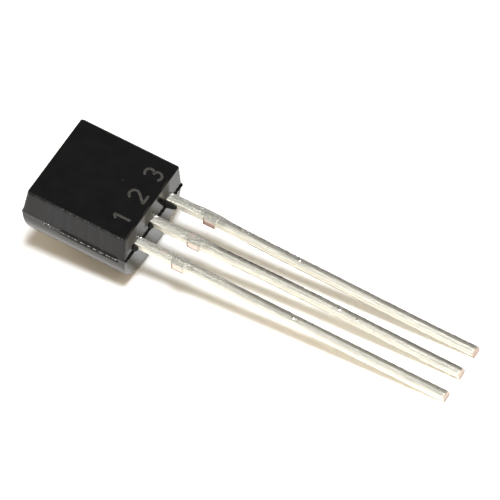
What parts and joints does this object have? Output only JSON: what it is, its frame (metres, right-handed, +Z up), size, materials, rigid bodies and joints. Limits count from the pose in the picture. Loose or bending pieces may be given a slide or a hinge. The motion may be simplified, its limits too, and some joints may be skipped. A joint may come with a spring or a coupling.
{
  "type": "to-92 transistor",
  "caption": "Small through-hole transistor in a moulded black half-round body with a flat marking face and straight tinned leads in a row.",
  "frame": {"origin": "centre of the part's bounding box, on the surface that the part lies on", "axes": "+X runs level along the row of leads from the body to the tips, +Y across the leads from pin 1 to pin 3, +Z up. The part lies on its round back as at rest, so the package itself is tilted 9.68 degrees about Y: the leads slope down to their tips and the marking face looks up."},
  "size_m": [0.0198, 0.0048, 0.0047],
  "materials": {
    "moulding": "satin",
    "tinned_lead": "satin",
    "silicon": "gloss",
    "attach": "matte",
    "bond_wire": "gloss"
  },
  "bodies": {
    "root": {"moulded_body": "moulding", "pin_1_lead": "tinned_lead", "pin_2_lead": "tinned_lead", "pin_3_lead": "tinned_lead", "silicon_die": "silicon", "die_attach": "attach", "bond_wire_1": "bond_wire", "bond_wire_3": "bond_wire"}
  },
  "joints": []
}
